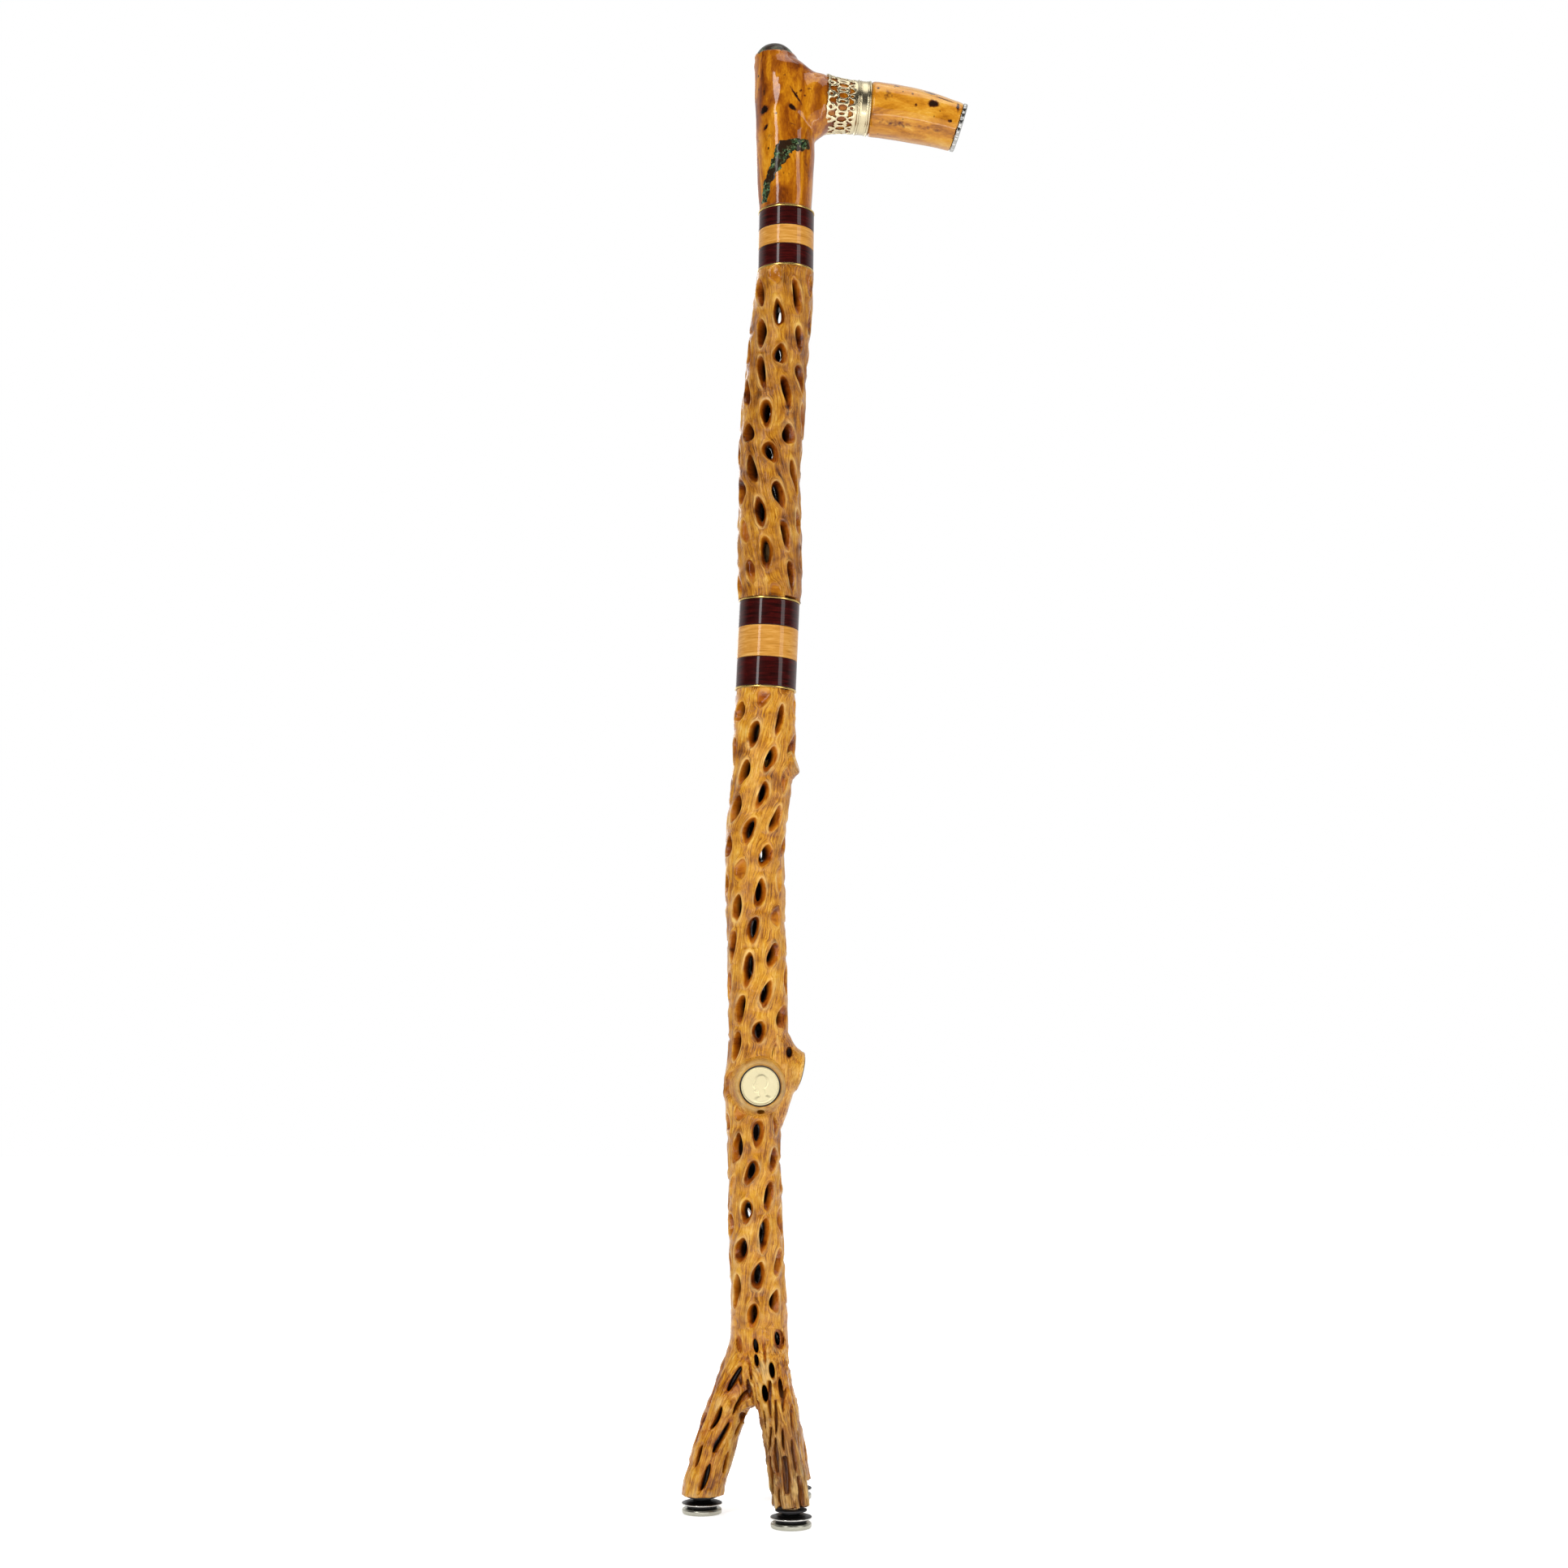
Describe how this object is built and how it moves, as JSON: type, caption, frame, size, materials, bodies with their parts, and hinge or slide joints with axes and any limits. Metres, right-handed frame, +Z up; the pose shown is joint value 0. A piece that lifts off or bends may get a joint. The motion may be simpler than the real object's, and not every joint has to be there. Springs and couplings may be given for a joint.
{
  "type": "walking cane",
  "caption": "Pierced cholla-wood walking cane on a natural tripod of legs with swivel glides, banded with turned wood and fitted with a forked hardwood handle with a metal collar.",
  "frame": {"origin": "on the floor, in the middle of the bounding box of the whole cane", "axes": "+Z up the shaft, +X towards the end of the grip, -Y towards the side of the coin knot and the filled crack"},
  "size_m": [0.1868, 0.1222, 0.9515],
  "materials": {
    "cholla_wood": "cholla cactus wood under thick gloss lacquer",
    "dark_wood": "dark maroon hardwood, gloss lacquer",
    "pale_wood": "golden fine-lined hardwood, gloss lacquer",
    "handle_wood": "figured amber hardwood, gloss lacquer",
    "dowel_wood": "plain birch dowel",
    "crushed_stone": "crushed green-black stone in clear resin",
    "brass": "bright brass",
    "collar_metal": "pale gold plate, pierced and engraved",
    "coin_metal": "worn pale coin metal",
    "bezel_metal": "beaded silver-coloured bezel",
    "epoxy": "dark casting resin",
    "nickel": "nickel plate",
    "dark_steel": "dark dished cap with a bright edge",
    "rubber": "black rubber",
    "nylon": "white nylon"
  },
  "bodies": {
    "cane": {"middle_ring_lower": "brass", "middle_band_dark_lower": "dark_wood", "middle_band_light": "pale_wood", "middle_band_dark_upper": "dark_wood", "middle_ring_upper": "brass", "middle_dowel": "dowel_wood", "upper_ring_lower": "brass", "upper_band_dark_lower": "dark_wood", "upper_band_light": "pale_wood", "upper_band_dark_upper": "dark_wood", "upper_ring_upper": "brass", "handle_dowel": "dowel_wood", "handle_grip": "handle_wood", "grip_dowel": "dowel_wood", "collar": "collar_metal", "grip_end_bezel": "bezel_metal", "grip_end_coin": "coin_metal", "handle_neck": "handle_wood", "cap_stone": "crushed_stone", "crack_inlay": "crushed_stone", "shaft_upper": "cholla_wood", "shaft_lower": "cholla_wood", "coin_front_bed": "epoxy", "coin_front": "coin_metal", "coin_side_bed": "epoxy", "coin_side": "coin_metal", "foot_left_plug": "dowel_wood", "foot_left_stem": "nickel", "foot_left_cap": "dark_steel", "foot_left_gasket": "rubber", "foot_front_plug": "dowel_wood", "foot_front_stem": "nickel", "foot_front_cap": "dark_steel", "foot_front_gasket": "rubber", "foot_back_plug": "dowel_wood", "foot_back_stem": "nickel", "foot_back_cap": "dark_steel", "foot_back_gasket": "rubber"},
    "foot_left_seat": {"foot_left_ball_seat": "nylon"},
    "foot_left_pad": {"foot_left_base": "nickel", "foot_left_cushion": "rubber"},
    "foot_front_seat": {"foot_front_ball_seat": "nylon"},
    "foot_front_pad": {"foot_front_base": "nickel", "foot_front_cushion": "rubber"},
    "foot_back_seat": {"foot_back_ball_seat": "nylon"},
    "foot_back_pad": {"foot_back_base": "nickel", "foot_back_cushion": "rubber"}
  },
  "joints": [
    {"name": "foot_left_rock_sideways", "type": "hinge", "parent": "cane", "child": "foot_left_seat", "pos_m": [-0.08101, -0.0025, 0.0044], "axis": [1, 0, 0], "range_deg": [-6, 6], "stiffness_Nm_per_rad": 6},
    {"name": "foot_left_rock_forward", "type": "hinge", "parent": "foot_left_seat", "child": "foot_left_pad", "pos_m": [-0.08101, -0.0025, 0.0044], "axis": [0, 1, 0], "range_deg": [-6, 6], "stiffness_Nm_per_rad": 6},
    {"name": "foot_front_rock_sideways", "type": "hinge", "parent": "cane", "child": "foot_front_seat", "pos_m": [-0.02631, -0.0485, 0.0044], "axis": [1, 0, 0], "range_deg": [-6, 6], "stiffness_Nm_per_rad": 6},
    {"name": "foot_front_rock_forward", "type": "hinge", "parent": "foot_front_seat", "child": "foot_front_pad", "pos_m": [-0.02631, -0.0485, 0.0044], "axis": [0, 1, 0], "range_deg": [-6, 6], "stiffness_Nm_per_rad": 6},
    {"name": "foot_back_rock_sideways", "type": "hinge", "parent": "cane", "child": "foot_back_seat", "pos_m": [-0.02531, 0.0485, 0.0044], "axis": [1, 0, 0], "range_deg": [-6, 6], "stiffness_Nm_per_rad": 6},
    {"name": "foot_back_rock_forward", "type": "hinge", "parent": "foot_back_seat", "child": "foot_back_pad", "pos_m": [-0.02531, 0.0485, 0.0044], "axis": [0, 1, 0], "range_deg": [-6, 6], "stiffness_Nm_per_rad": 6}
  ]
}
